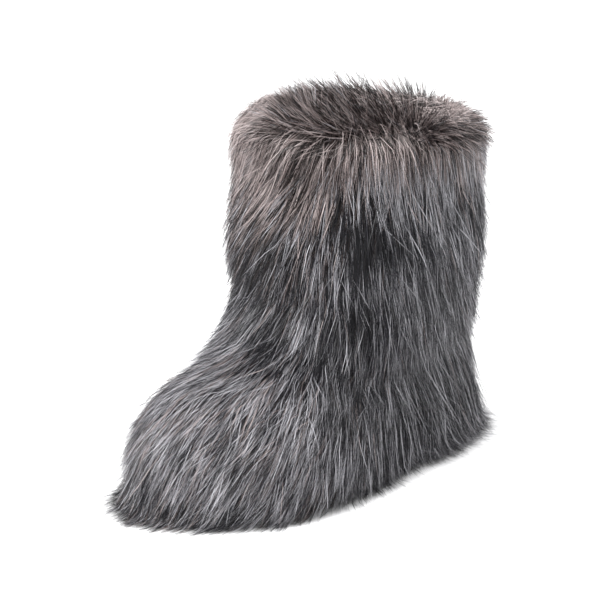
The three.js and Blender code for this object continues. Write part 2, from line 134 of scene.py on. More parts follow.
CROWN_ROWS = MM * np.array([(-1.5, 6), (-7, 9), (-14, 4)])  # out of the rim, and above it
PILE_ROWS = MM * np.array(  # depth of the fur at each row
    [23.5, 24.2, 24.4, 23.9, 23, 22.1, 21.6, 22, 23.5, 26, 29, 30, 28, 25, 18, 13, 10]
)
LAST_ROW = len(PILE_ROWS) - 1
RIM_ROW = LAST_ROW - len(CROWN_ROWS)
SOLE_LIP = 3 * MM
FOREFOOT_STACK = 18 * MM
TOE_SPRING = 4.9 * MM
ANKLE_HEIGHT = 104 * MM
COLLAR_HEIGHT = 212 * MM
COLLAR_SIZE = (150 * MM, 124 * MM)
COLLAR_BACK = 9 * MM
COLLAR_PITCH = 10 * MM
AROUND = 240  # places round a row
FINE = 12  # fine rows from one row to the next
DOWN = np.array((0.0, 0.0, -1.0))
FORWARD = np.array((0.0, -1.0, 0.0))
print(LAST_ROW + 1, "rows, the rim is row", RIM_ROW)

# %% [markdown]
# ## Curves through a few places
#
# A shoemaker's outline is known at a few places and drawn smooth between them. A cubic from each
# place to the next does the same. Its slope at a place comes from the neighbours on both sides,
# so the pieces join without a corner.

# %% Blends and the closed curve
def smooth(share):
    """0 below 0, 1 above 1, and an S-shaped rise between."""
    share = np.clip(share, 0, 1)
    return share * share * (3 - 2 * share)


def rise(value, start, length):
    """0 up to the start, 1 from a length beyond it, and an S-shaped rise between."""
    return smooth((value - start) / length)


def mix(low, high, share):
    """The value a share of the way from low to high."""
    return low + (high - low) * share


def closed_curve(places, count):
    """A smooth loop through the places: a cubic between each two, with a slope at each end that
    follows its neighbours, weighted by the square root of their distances."""
    before, after, beyond = (np.roll(places, by, axis=0) for by in (1, -1, -2))
    first, here, last = (
        np.sqrt(np.linalg.norm(b - a, axis=1, keepdims=True))
        for a, b in ((before, places), (places, after), (after, beyond))
    )
    leave = (places - before) / first - (after - before) / (first + here)
    leave = here * leave + (after - places)
    arrive = (beyond - after) / last - (beyond - places) / (here + last)
    arrive = here * arrive + (after - places)
    position = np.arange(count) / count * len(places)
    piece = position.astype(int)
    t = (position - piece)[:, None]
    a, b, da, db = places[piece], after[piece], leave[piece], arrive[piece]
    return (
        (2 * t**3 - 3 * t**2 + 1) * a
        + (t**3 - 2 * t**2 + t) * da
        + (3 * t**2 - 2 * t**3) * b
        + (t**3 - t**2) * db
    )


# %% Outlines and the sole's top
HEEL_END, WAIST_LENGTH, SPRING_START = 0.2, 0.42, 0.76  # shares of the sole's length


def outline(back_end, front_end, half_width, oval):
    """A row's outline as (distance from the heel, distance across), from the sole's outline at
    oval 0 to an ellipse at oval 1."""
    angle = np.radians(OUTLINE[:, 2])
    along = mix(OUTLINE[:, 0], (1 - np.cos(angle)) / 2, oval)
    across = mix(OUTLINE[:, 1], np.sin(angle), oval)
    places = np.stack([mix(back_end, front_end, along), half_width * across], axis=1)
    return closed_curve(places, AROUND)


def sole_top(along):
    """Height of the sole's top: thick at the heel, thinner at the ball, rising at the toe."""
    share = along / SOLE_LENGTH
    stack = mix(HEEL_STACK, FOREFOOT_STACK, rise(share, HEEL_END, WAIST_LENGTH))
    spring = np.clip((share - SPRING_START) / (1 - SPRING_START), 0, 1)
    return stack + TOE_SPRING * spring**2


print("sole top at heel, ball and tip", sole_top(SOLE_LENGTH * np.array((0, 0.7, 1))).round(4))

# %% [markdown]
# ## Rows, and the fine grid between them
#
# The rows are stacked from the floor up: two of the sole, nine of the foot, three of the shaft,
# and three that turn over the rim. A cubic through four rows gives the fine rows between them, so
# the upper is round from floor to rim as well as round about.

# %% The rows
def placed(ring, height):
    """An outline and its heights as points in the boot's own frame."""
    return np.stack([MIDDLE_X + ring[:, 1], HEEL_Y - ring[:, 0], height], axis=1)


def unit(vectors):
    """The same directions, at length 1."""
    return vectors / np.maximum(np.linalg.norm(vectors, axis=-1, keepdims=True), 1e-12)


def upper_rows():
    """The rows of the upper. Low ones follow the sole's top, and the shaft grows from the ankle's
    oval to the collar's, which is pitched: higher in front."""
    sole = outline(0, SOLE_LENGTH, HALF_BALL, 0)
    rows = [placed(sole, np.full(AROUND, 2 * MM)), placed(sole, sole_top(sole[:, 0]))]
    length = SOLE_LENGTH - 2 * SOLE_LIP
    half = HALF_BALL - SOLE_LIP
    for climb, start, end, side, oval in FOOT_ROWS:
        ring = outline(SOLE_LIP + start * length, SOLE_LIP + end * length, side * half, oval)
        base = mix(sole_top(ring[:, 0]), HEEL_STACK, climb**2)
        rows.append(placed(ring, base + climb * ANKLE_HEIGHT))
    _, start, end, side, _ = FOOT_ROWS[-1]
    for climb, growth in SHAFT_ROWS:
        heel = mix(SOLE_LIP + start * length, COLLAR_BACK, growth)
        front = mix(SOLE_LIP + end * length, COLLAR_BACK + COLLAR_SIZE[0], growth)
        ring = outline(heel, front, mix(side * half, COLLAR_SIZE[1] / 2, growth), 1)
        tilt = COLLAR_PITCH * climb * ((ring[:, 0] - heel) / (front - heel) - 0.5)
        rows.append(placed(ring, HEEL_STACK + mix(ANKLE_HEIGHT, COLLAR_HEIGHT, climb) + tilt))
    rim = rows[-1]
    round_rim = np.roll(rim, -1, axis=0) - np.roll(rim, 1, axis=0)
    out = unit(np.cross(-DOWN, round_rim))
    rows.extend(rim + away * out - above * DOWN for away, above in CROWN_ROWS)
    return np.array(rows)


# %% The fine grid
def between_rows(rows, position):
    """Values at any position on the rows, by a cubic through the four nearest rows."""
    padded = np.concatenate([2 * rows[:1] - rows[1:2], rows, 2 * rows[-1:] - rows[-2:-1]])
    piece = np.minimum(position.astype(int), len(rows) - 2)
    t = (position - piece).reshape((-1,) + (1,) * (rows.ndim - 1))
    a, b, c, d = (padded[piece + k] for k in range(4))
    return b + t / 2 * (c - a + t * (2 * a - 5 * b + 4 * c - d + t * (3 * (b - c) + d - a)))


def slopes(grid):
    """How far a grid's points move for one row, and for one whole turn."""
    by_row = np.gradient(grid, axis=0) * FINE
    by_turn = (np.roll(grid, -1, axis=1) - np.roll(grid, 1, axis=1)) * AROUND / 2
    return by_row, by_turn


POSITIONS = np.arange(LAST_ROW * FINE + 1) / FINE
SKIN = between_rows(upper_rows(), POSITIONS)
NORMAL = unit(np.cross(*slopes(SKIN)))
print("upper grid", SKIN.shape, "top", round(float(SKIN[-1, :, 2].max()), 4))

# %% [markdown]
# ## The coat's depth
#
# The fur is 22 to 30 mm deep. Near the floor it spreads, widest before the toe, where it ends in
# a thin lip on the floor. The coat is the upper's grid moved out by that depth, and the tips of
# the hairs lie near it. A helper reads such a grid anywhere between its lines.

# %% Depth of the fur, and the coat
FLARE_ROWS, LIP_ROWS = 3.2, 1.4  # rows from the floor up, over which the two fade out
TOE_FLARE, HEEL_FLARE, HEM_TUCK, TOE_LIP = 12 * MM, 3 * MM, 1 * MM, 7 * MM
HEEL_REACH = 45 * MM
TIP_TURN, TIP_WIDTH = 0.525, 0.055


def toe_tip(turn):
    """A bell round the boot that is 1 in front of the toe."""
    return np.exp(-(((turn % 1) - TIP_TURN) / TIP_WIDTH) ** 2)


def pile_grid():
    """Depth of the fur at each place of the grid: each row's own depth, and a flare near the
    floor that is widest before the toe."""
    by_row = np.interp(POSITIONS, np.arange(LAST_ROW + 1), PILE_ROWS)[:, None]
    low, lowest = ((1 - smooth(POSITIONS / rows))[:, None] for rows in (FLARE_ROWS, LIP_ROWS))
    along = HEEL_Y - SKIN[..., 1]
    heel = smooth((HEEL_REACH - along) / HEEL_REACH)
    tip = toe_tip(np.arange(AROUND) / AROUND)
    return by_row + low * (TOE_FLARE * tip + HEEL_FLARE * heel - HEM_TUCK) + lowest * TOE_LIP * tip


def on_grid(grid, row, turn):
    """A grid's value at any row and turn, from its four nearest corners by nearness."""
    down = np.clip(row, 0, LAST_ROW) * FINE
    i = np.minimum(down.astype(int), grid.shape[0] - 2)
    s = (down - i)[..., None]
    along = (turn % 1.0) * AROUND
    j = along.astype(int) % AROUND
    t = (along - np.floor(along))[..., None]
    k = (j + 1) % AROUND
    return mix(mix(grid[i, j], grid[i, k], t), mix(grid[i + 1, j], grid[i + 1, k], t), s)


PILE = pile_grid()[..., None]
COAT = SKIN + NORMAL * PILE
COAT_BY_ROW, COAT_BY_TURN = slopes(COAT)
print("fur", round(float(PILE.min()), 4), "to", round(float(PILE.max()), 4), "m deep")

# %% [markdown]
# ## Which way the hair lies
#
# A pelt is combed. On this boot the hair hangs down the shaft, and on the foot it leans towards
# the toe, more and more from heel to toe. Under the collar it is swept to the front and inner
# side. So the direction at a place is down, plus a lean forward, plus a sweep, with the part
# that would leave the surface taken away.

# %% The combing
SWEEP = np.array((-0.757, -0.653, 0.0))  # to the front and inner side
OUTER_FRONT = np.array((0.653, -0.757, 0.0))  # square to it, towards the camera
TOE_LEAN = 1.45  # forward for each step down
LEAN_START, LEAN_LENGTH = 30 * MM, 215 * MM  # from the heel, where the lean grows
LEAN_TOP, LEAN_FADE = 80 * MM, 60 * MM  # height where it fades
SWEEP_LOW, SWEEP_CLIMB = 110 * MM, 130 * MM  # height where the sweep grows
LEAST_SWEEP = 0.12


def combing(point, normal):
    """Unit direction of the hair: down, with a forward lean that grows from heel to toe and fades
    up the ankle, and a sweep to the inner front under the collar."""
    along = HEEL_Y - point[:, 1]
    height = point[:, 2]
    lean = rise(along, LEAN_START, LEAN_LENGTH) * (1 - rise(height, LEAN_TOP, LEAN_FADE))
    facing = normal @ SWEEP
    sweep = mix(LEAST_SWEEP, 1.0, rise(height, SWEEP_LOW, SWEEP_CLIMB)) * rise(facing, -0.25, 1.1)
    sweep = sweep - LEAST_SWEEP * smooth(-facing)
    way = DOWN + TOE_LEAN * lean[:, None] * FORWARD + sweep[:, None] * SWEEP
    return unit(way - np.sum(way * normal, axis=1, keepdims=True) * normal)


def follow(row, turn, step, wander, steps):
    """Rows and turns passed on the way down the coat in equal steps. Each step is turned by the
    hair's own angle, and split between rows and turns by the coat's two slopes there."""
    passed = [(row, turn)]
    for _ in range(steps):
        normal = unit(on_grid(NORMAL, row, turn))
        way = combing(on_grid(COAT, row, turn), normal)
        side = np.cross(normal, way)
        way = way * np.cos(wander)[:, None] + side * np.sin(wander)[:, None]
        by_row = on_grid(COAT_BY_ROW, row, turn)
        by_turn = on_grid(COAT_BY_TURN, row, turn)
        aa, ab, bb = (np.sum(p * q, axis=1) for p, q in (
            (by_row, by_row), (by_row, by_turn), (by_turn, by_turn)))
        wa, wb = np.sum(by_row * way, axis=1), np.sum(by_turn * way, axis=1)
        whole = aa * bb - ab * ab
        row = row + step * (bb * wa - ab * wb) / whole
        turn = turn + step * (aa * wb - ab * wa) / whole
        passed.append((row, turn))
    return np.array(passed).transpose(1, 2, 0)


# %% [markdown]
# ## Hair colours
#
# Each hair is one colour from root to tip but for painted shade that darkens its root, deep in
# the coat, and faint painted glints along it, and neighbours differ a lot: that is what makes the
# fur look silver over charcoal. Every hair gets a place on one palette by its UV map, across for
# the colour and up for root to tip, so one material serves all of it. The map is named OFBake, so
# an export can keep it.

# %% Helpers for materials
def new_material(name, roughness):
    """A node material, with handles to its nodes, its links and its Principled shader."""
    material = bpy.data.materials.new(name)
    material.use_nodes = True
    nodes = material.node_tree.nodes
    shader = nodes["Principled BSDF"]
    shader.inputs["Roughness"].default_value = roughness
    return material, nodes, material.node_tree.links, shader


def ramp(nodes, links, value, stops):
    """A ColorRamp with the given (position, colour) stops, read at a value socket."""
    node = nodes.new("ShaderNodeValToRGB")
    elements = node.color_ramp.elements
    while len(elements) < len(stops):
        elements.new(0.5)
    for element, (position, colour) in zip(elements, stops):
        element.position = position
        element.color = (*colour, 1)
    links.new(value, node.inputs[0])
    return node.outputs["Color"]


def times(nodes, links, first, second):
    """Two colour sockets multiplied."""
    node = nodes.new("ShaderNodeMix")
    node.data_type = "RGBA"
    node.blend_type = "MULTIPLY"
    node.inputs["Factor"].default_value = 1
    links.new(first, node.inputs["A"])
    links.new(second, node.inputs["B"])
    return node.outputs["Result"]


def noise_node(nodes, links, place, scale, detail):
    """Noise read at a place socket."""
    noise = nodes.new("ShaderNodeTexNoise")
    noise.inputs["Scale"].default_value = scale
    noise.inputs["Detail"].default_value = detail
    links.new(place, noise.inputs["Vector"])
    return noise


def bumped(nodes, links, shader, height, distance):
    """Bump from a height socket."""
    bump = nodes.new("ShaderNodeBump")
    bump.inputs["Distance"].default_value = distance
    links.new(height, bump.inputs["Height"])
    links.new(bump.outputs["Normal"], shader.inputs["Normal"])


# %% The hair's material
COOL_PALETTE = [
    (0.0, (0.008, 0.008, 0.012)), (0.12, (0.022, 0.021, 0.030)), (0.25, (0.090, 0.087, 0.104)),
    (0.38, (0.290, 0.283, 0.310)), (0.495, (0.780, 0.770, 0.820)),
]
WARM_PALETTE = [
    (0.505, (0.010, 0.005, 0.004)), (0.62, (0.034, 0.020, 0.018)), (0.75, (0.122, 0.080, 0.074)),
    (0.88, (0.325, 0.240, 0.228)), (1.0, (0.760, 0.650, 0.635)),
]
# Painted shade: the roots, deep in the coat, are darkened up the UV map.
ROOT_PAINTED_SHADE = [(0.0, (0.15,) * 3), (0.3, (0.40,) * 3), (0.6, (0.76,) * 3), (1.0, (0.76,) * 3)]
# Painted glints: faint brighter and darker stretches along each hair.
PAINTED_GLINT_STREAKS = [(0.35, (0.5,) * 3), (0.65, (1.0,) * 3)]
GLINT_STREAK_SCALE = (240, 5, 1)  # across the palette, and from root to tip


def hair_material():
    """Palette across the UV map, times a painted shade up it that darkens the roots, deep in the
    coat, times faint streaks of painted glint that break up the length of a hair."""
    material, nodes, links, shader = new_material("faux_fur_hair", 0.36)
    shader.inputs["Specular IOR Level"].default_value = 0.36
    place = nodes.new("ShaderNodeUVMap")
    place.uv_map = "OFBake"
    apart = nodes.new("ShaderNodeSeparateXYZ")
    links.new(place.outputs["UV"], apart.inputs[0])
    palette = ramp(nodes, links, apart.outputs["X"], COOL_PALETTE + WARM_PALETTE)
    shade = ramp(nodes, links, apart.outputs["Y"], ROOT_PAINTED_SHADE)
    stretch = nodes.new("ShaderNodeMapping")
    stretch.inputs["Scale"].default_value = GLINT_STREAK_SCALE
    links.new(place.outputs["UV"], stretch.inputs["Vector"])
    glint_streaks = noise_node(nodes, links, stretch.outputs["Vector"], 1, 2)
    glint_streaks = ramp(nodes, links, glint_streaks.outputs["Fac"], PAINTED_GLINT_STREAKS)
    colour = times(nodes, links, times(nodes, links, palette, shade), glint_streaks)
    links.new(colour, shader.inputs["Base Color"])
    return material


HAIR = hair_material()
print("hair palette of", len(COOL_PALETTE + WARM_PALETTE), "stops")

# %% [markdown]
# ## Hair as strips
#
# A hair is four points from root to tip. Three of them carry two edges and the tip is one point,
# so a hair has seven corners and five triangles. The strip lies roughly flat on the coat, each
# turned by its own angle, so some catch the light and others don't.

# %% A mesh from its corners and faces
def mesh_piece(name, corners, faces, material, uv=None):
    """A named object with its mesh, smooth faces, its material, and an OFBake map if given."""
    mesh = bpy.data.meshes.new(name)
    sides = faces.shape[1]
    mesh.vertices.add(len(corners))
    mesh.vertices.foreach_set("co", corners.astype(np.float32).ravel())
    mesh.loops.add(faces.size)
    mesh.loops.foreach_set("vertex_index", faces.astype(np.int32).ravel())
    mesh.polygons.add(len(faces))
    mesh.polygons.foreach_set("loop_start", np.arange(0, faces.size, sides, dtype=np.int32))
    mesh.polygons.foreach_set("use_smooth", np.ones(len(faces), dtype=bool))
    if uv is not None:
        layer = mesh.uv_layers.new(name="OFBake")
        layer.data.foreach_set("uv", uv[faces.ravel()].astype(np.float32).ravel())
    mesh.update(calc_edges=True)
    mesh.validate()
    mesh.materials.append(material)
    piece = bpy.data.objects.new(name, mesh)
    bpy.context.collection.objects.link(piece)
    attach(piece, "root")
    print(name, len(faces) * (sides - 2), "triangles")
    return piece


# %% A mesh of hairs from their paths
POINTS = 4
CORNERS = 2 * POINTS - 1
STRIP = np.array([(0, 1, 3), (0, 3, 2), (2, 3, 5), (2, 5, 4), (4, 5, 6)])
TAPER = np.array((0.85, 1.0, 0.75))
TO_TIP = np.linspace(0, 1, POINTS)  # 0 at a hair's root and 1 at its tip
HALF_STREAK = 0.0015  # half of what one hair takes of the palette


def hair_map(count, colour):
    """The UV place of each corner: across, the hair's palette place and a little to either side,
    and up, its way from root to tip, kept just inside the map."""
    across = np.append(np.tile((-1, 1), POINTS - 1), 0) * HALF_STREAK
    up = np.append(np.repeat(np.arange(POINTS - 1), 2), POINTS - 1) / (POINTS - 1) * 0.98 + 0.01
    place = np.empty((count, CORNERS, 2))
    place[..., 0] = colour[:, None] + across
    place[..., 1] = up
    return place.reshape(-1, 2)


def hair_mesh(name, paths, facing, width, twist, colour):
    """One mesh of all the hairs. paths is hair by point by xyz, facing the way the coat faces
    along each hair. The strip's edges lie half a width to either side, square to the hair."""
    count = len(paths)
    along = unit(np.gradient(paths, axis=1))
    side = unit(np.cross(along, facing))
    third = np.cross(along, side)
    angle = twist[:, None, None]
    side = side * np.cos(angle) + third * np.sin(angle)
    reach = (width[:, None] / 2 * TAPER)[..., None] * side[:, :-1]
    corners = np.empty((count, CORNERS, 3))
    corners[:, 0:-1:2] = paths[:, :-1] - reach
    corners[:, 1:-1:2] = paths[:, :-1] + reach
    corners[:, -1] = paths[:, -1]
    faces = (np.arange(count)[:, None, None] * CORNERS + STRIP).reshape(-1, 3)
    return mesh_piece(name, corners.reshape(-1, 3), faces, HAIR, hair_map(count, colour))


# %% [markdown]
# ## Hairs, strands and locks
#
# Hair never lies singly. A few hairs stick together in a strand, and strands gather in locks
# whose tips come together. So most random numbers belong to a lock or a strand, and all of its
# hairs share them. A small class keeps that book. The hairs are also trimmed, so that the fur
# stays close to the solid it stands for.

# %% The dice
HAIRS = 37000  # in each piece
STRAND = 3  # hairs that lie together and share a tone


class Dice:
    """Random numbers for hairs in strands and locks. A number drawn for a lock or a strand is
    handed to every hair in it."""

    def __init__(self, seed, locks):
        self.rng = np.random.default_rng(seed)
        self.locks = locks
        self.strand = np.arange(HAIRS) // STRAND
        self.strands = self.strand[-1] + 1

    def gather(self):
        """Deal the strands out to the locks."""
        self.lock = self.rng.integers(0, self.locks, self.strands)[self.strand]

    def by_lock(self, low, high):
        """Even between low and high, one draw for each lock."""
        return self.rng.uniform(low, high, self.locks)[self.lock]

    def by_strand(self, low, high):
        """Even between low and high, one draw for each strand."""
        return self.rng.uniform(low, high, self.strands)[self.strand]

    def by_hair(self, low, high):
        """Even between low and high, one draw for each hair."""
        return self.rng.uniform(low, high, HAIRS)

    def lock_bell(self, size):
        """Around 0 in a bell, one draw for each lock."""
        return self.rng.normal(0, size, self.locks)[self.lock]

    def bell(self, strand_size, hair_size):
        """Around 0 in a bell: a part that a strand shares, plus a part of each hair's own."""
        shared = self.rng.normal(0, strand_size, self.strands)[self.strand]
        return shared + self.rng.normal(0, hair_size, HAIRS)

    def some(self, share):
        """True for a share of the hairs."""
        return self.rng.random(HAIRS) < share


# %% Where hairs are trimmed
TRIM_SHARE, TRIM_MORE = 0.027, 8 * MM
box_sides = np.array(cad_box[1]) - np.array(cad_box[0])
TRIM_LOW = np.array(cad_box[0]) - TRIM_SHARE * box_sides - TRIM_MORE
TRIM_HIGH = np.array(cad_box[1]) + TRIM_SHARE * box_sides + TRIM_MORE
print("hairs are trimmed at", TRIM_LOW.round(3), TRIM_HIGH.round(3))

# %% [markdown]
# ## The tone of each hair
#
# The pelt isn't even. Painted light makes it lighter on the toe, the instep and the upper
# shaft, as where light from above falls, and painted shade makes it darker near the floor at the
# toe, in the middle of the shaft, at the crown and along the parting under the collar. It is also
# darker in patches, a few of them a painted shadow under the fringe of the shaft's hair at the
# ankle, and brown locks mix in towards the top. A share of the strands is silver and the rest
# charcoal, and a lighter place simply has more silver ones.

# %% Patches, a painted shadow at the ankle, and silver
SILVER = (0.93, 0.12)  # middle and spread of the lightness
CHARCOAL = (0.10, 0.09)
# The first patch and the last seven are the pelt's own uneven tone; the second to the sixth, on the
# outer front round the ankle, are a painted shadow under the fringe of the shaft's hair.
TONE_PATCHES_AND_ANKLE_SHADOW = np.array([  # x, y, z and reach in mm of the pelt's darker patches, and how dark
    (64, -14, 182, 17, 0.42), (54, -19, 116, 16, 0.42), (18, -65, 107, 17, 0.3),
    (47, -46, 98, 14, 0.3), (46, -66, 88, 16, 0.2), (64, -34, 73, 20, 0.2),
    (60, 100, 60, 22, 0.15), (-70, 20, 170, 24, 0.4), (-60, -40, 80, 26, 0.4),
    (0, 150, 120, 24, 0.35), (-60, 90, 200, 22, 0.4), (-50, -110, 45, 20, 0.3),
    (20, 160, 60, 18, 0.3),
])


def palette_place(light, warm):
    """Where a hair stands on the palette: its lightness, on the cool half or on the warm one."""
    return np.clip(light, 0.02, 0.97) / 2 + 0.5 * warm


def patch_and_shadow_darkening(point):
    """How much darker the pelt is at a point, in patches of its own tone and in the painted shadow
    at the ankle: each patch fades out like a bell.
    """
    gaps = np.linalg.norm(point[:, None] - MM * TONE_PATCHES_AND_ANKLE_SHADOW[:, :3], axis=2) / (MM * TONE_PATCHES_AND_ANKLE_SHADOW[:, 3])
    return (TONE_PATCHES_AND_ANKLE_SHADOW[:, 4] * np.exp(-gaps * gaps)).max(axis=1)


def mottled(dice, share, guard):
    """Lightness of each hair: a share of the strands is silver and the rest charcoal. Where the
    share is large, both are a little lighter."""
    chance = mix(dice.by_strand(0, 1), dice.by_hair(0, 1), 0.3)
    silver, charcoal = (dice.rng.normal(*tone, HAIRS) for tone in (SILVER, CHARCOAL))
    return np.where(chance < share, silver, charcoal) + 0.4 * (share - 0.45) + 0.05 * guard


# %% Tone of the coat, with painted light and shade
# Painted light: the toe, the instep and the upper shaft under the collar are made lighter, as where
# light from above falls. The plain lightness is the pelt's own tone.
PLAIN_LIGHT, TOE_PAINTED_LIGHT, INSTEP_PAINTED_LIGHT, COLLAR_PAINTED_LIGHT = 0.37, 0.06, 0.12, 0.37
# Painted shade: darker near the floor at the toe, in the middle of the shaft, at the crown, along
# the parting under the collar, and more on the front side, where it also takes off painted light.
HEM_PAINTED_SHADE, MIDDLE_PAINTED_SHADE, CROWN_PAINTED_SHADE, PARTING_PAINTED_SHADE, FRONT_PAINTED_SHADE = 0.14, 0.05, 0.06, 0.20, 0.07


def coat_tone(dice, point, normal, guard):
    """Palette place of each hair of the coat. Each zone is an S-shaped rise over the height or
    over the length of the foot, and adds its share of silver or of brown. The toe, instep and
    upper shaft get painted light; the hem at the toe, the middle and front of the shaft, the crown
    and the parting get painted shade."""
    height = point[:, 2] + dice.lock_bell(9 * MM)
    along = HEEL_Y - point[:, 1]
    front = rise(normal @ SWEEP, -0.5, 1)
    collar = rise(height, 175 * MM, 60 * MM)
    middle = rise(height, 95 * MM, 30 * MM) * (1 - collar)
    toe = rise(along, 140 * MM, 90 * MM)
    hem = 1 - rise(height, 0, 30 * MM)
    instep = toe * np.maximum(normal[:, 2], 0)
    brown = rise(height, 120 * MM, 110 * MM)
    crown = rise(point[:, 2], 236 * MM, 8 * MM)
    warmth = 0.10 + 0.55 * brown * front + 0.2 * collar + 0.14 * toe + 0.8 * crown
    warm = dice.by_lock(0, 0.75) + dice.by_hair(0, 0.25) < warmth
    # The parting under the collar on the near side, where the collar's hair overhangs, gets painted
    # shade.
    parting = rise(height, 205 * MM, 30 * MM) * (1 - rise(normal @ SWEEP, 0.3, 1))
    parting = parting * rise(normal @ OUTER_FRONT, 0.3, 0.4)
    # Painted light on the toe, the instep and the upper shaft; painted shade near the floor at the
    # toe, at the crown, along the parting and in the middle of the shaft, more on its front.
    light = PLAIN_LIGHT + TOE_PAINTED_LIGHT * toe + INSTEP_PAINTED_LIGHT * instep - HEM_PAINTED_SHADE * hem * toe
    light = light - CROWN_PAINTED_SHADE * crown - PARTING_PAINTED_SHADE * parting
    light = light + (COLLAR_PAINTED_LIGHT - FRONT_PAINTED_SHADE * front) * collar
    light = light - (MIDDLE_PAINTED_SHADE + FRONT_PAINTED_SHADE * front) * middle
    light = light - patch_and_shadow_darkening(point) * dice.by_lock(0.5, 1.4)
    light = light + dice.lock_bell(0.12)
    return palette_place(mottled(dice, light, guard), warm)


# %% [markdown]
# ## Hair on the foot and the shaft
#
# Roots are scattered evenly over the coat in groups, one group to a lock. Each lock has a middle
# path, and each hair is drawn towards it, not at the root and most at the tip. A few longer guard
# hairs and a few strays break the order. At the floor the hair can't go on down, so it ends
# there, or runs a little outwards along the floor where a lock is pointed.

# %% Roots and paths
ROOT_SPREAD = (5.5 * MM, 0.55 * MM)  # of a strand in its lock, and of a hair in its strand
ROW_MARGIN = 0.2
LOCK_LENGTH = 50 * MM


def scattered(rng, count, low, high):
    """Rows and turns of roots, even by area: places on the grid's squares, as likely as they are
    large."""
    size = np.linalg.norm(np.cross(COAT_BY_ROW, COAT_BY_TURN), axis=2)
    size[(POSITIONS < low) | (POSITIONS > high)] = 0
    size = size / size.sum()
    picked = rng.choice(size.size, count, p=size.ravel())
    row = (picked // AROUND + rng.uniform(-0.5, 0.5, count)) / FINE
    turn = (picked % AROUND + rng.uniform(-0.5, 0.5, count)) / AROUND
    return np.clip(row, 0, LAST_ROW), turn


def rooted(dice, lock_row, lock_turn, low, high):
    """Rows and turns of the hairs' roots, each a few millimetres from its lock's own. The coat's
    slopes there turn millimetres into rows and turns."""
    by_row = np.linalg.norm(on_grid(COAT_BY_ROW, lock_row, lock_turn), axis=1)
    by_turn = np.linalg.norm(on_grid(COAT_BY_TURN, lock_row, lock_turn), axis=1)
    row = lock_row[dice.lock] + dice.bell(*ROOT_SPREAD) / by_row[dice.lock]
    turn = lock_turn[dice.lock] + dice.bell(*ROOT_SPREAD) / by_turn[dice.lock]
    return np.clip(row, low - ROW_MARGIN, min(high + ROW_MARGIN, LAST_ROW)), turn


def drawn_together(dice, own, middle):
    """Each hair's rows and turns, moved part of the way to its lock's middle path. The shorter
    way round the boot is taken."""
    pull = dice.by_strand(0, 0.75)[:, None] * TO_TIP**1.5
    gap = middle[:, dice.lock] - own
    gap[1] = (gap[1] + 0.5) % 1 - 0.5
    return own + gap * pull


# %% The ends at the floor
POINTED_SHARE = 0.4
NEAR_START, NEAR_LENGTH = 120 * MM, 60 * MM  # from the heel, where most locks end above the hem


def hem_rows(dice, row, turn, guard):
    """The row at which each hair ends. Below 0 it runs out along the floor, far in pointed locks
    and farthest at the tip of the toe. At the sides of the forefoot the others end above 0."""
    along = HEEL_Y - on_grid(SKIN, np.maximum(row, 0), turn)[:, -1, 1]
    tip = toe_tip(turn[:, -1])
    pointed = (dice.rng.random(dice.locks) < POINTED_SHARE)[dice.lock]
    spread = dice.by_lock(0.5 * MM, 4 * MM) + pointed * dice.by_lock(5 * MM, 16 * MM)
    spread = (spread + (1 + 2 * guard) * dice.by_hair(0, 4 * MM)) * (0.75 + 0.7 * tip)
    lifted = rise(along, NEAR_START, NEAR_LENGTH) * (1 - tip) * ~pointed
    hem_slope = np.linalg.norm(on_grid(COAT_BY_ROW, 0 * tip, turn[:, -1]), axis=1)
    return dice.by_lock(0.1, 0.5) * lifted - (1 - lifted) * spread / hem_slope


def ended(row, turn, stop):
    """Rows and turns drawn together along each hair's own path so that it ends at its stop row,
    and the share of its length that is left."""
    each = np.arange(len(row))
    below = row < stop[:, None]
    after = np.maximum(np.argmax(below, axis=1), 1)
    high, low = row[each, after - 1], row[each, after]
    passed = after - 1 + (high - stop) / np.maximum(high - low, 1e-6)
    share = np.where(below.any(axis=1), np.clip(passed / (POINTS - 1), 0.2, 1), 1)
    place = share[:, None] * np.arange(POINTS)
    k = np.minimum(place.astype(int), POINTS - 2)
    row, turn = (mix(v[each[:, None], k], v[each[:, None], k + 1], place - k) for v in (row, turn))
    return row, turn, share


# %% Height above the upper
ROOT_SHARE = 0.5  # of the fur's depth, hidden by wool
JITTER = 0.35 * MM
DROOP = 4  # metres down for each square metre of reach


def raised(dice, row, turn, standing):
    """Points of the hairs and the way the coat faces there. A hair climbs from the wool to the
    coat, its lock a little over or under it, and a standing one rises above the rest."""
    normal = unit(on_grid(NORMAL, row, turn))
    pile = on_grid(PILE, row, turn)[..., 0]
    pile = (pile + pile[:, :1]) / 2
    top = dice.by_lock(0.86, 1.08) + dice.bell(0.05, 0.02) + standing * dice.by_hair(0, 0.2)
    height = pile * mix(ROOT_SHARE, top[:, None], TO_TIP**0.6)
    over = np.maximum(-row, 0) * np.linalg.norm(on_grid(COAT_BY_ROW, 0 * row, turn), axis=2)
    return on_grid(SKIN, row, turn) + normal * (height + over)[..., None], normal


def stiffened(paths, normal, length, stiffness):
    """Hair is springy: where the coat curves away, a hair goes part of the way on in its first
    direction, drooping with the square of the distance. It never goes into the coat."""
    reach = (length[:, None] * TO_TIP)[..., None]
    start = unit(paths[:, 1] - paths[:, 0])[:, None]
    gap = paths[:, :1] + start * reach + DROOP * DOWN * reach**2 - paths
    inward = np.minimum(np.sum(gap * normal, axis=2, keepdims=True), 0)
    return paths + (gap - inward * normal) * (stiffness[:, None] * TO_TIP)[..., None]


# %% A piece of the coat
GUARD_SHARE, STRAY_SHARE = 0.12, 0.05
HAIR_LENGTH, LENGTH_PLAY, GUARD_LENGTH = (40 * MM, 60 * MM), 4 * MM, (4 * MM, 14 * MM)
LOCK_WANDER, STRAY_WANDER = 0.13, 0.3  # radians off the combing
HAIR_WIDTH = (0.28 * MM, 0.56 * MM)
FLICK = (2 * MM, 11 * MM)  # how far a stray's tip stands off the coat
FLOOR_PLAY = (0.4 * MM, 3 * MM)
TWIST = 0.9  # radians to either side
SOFT_ROW = 12.3  # above it the hair lies softly over the rim


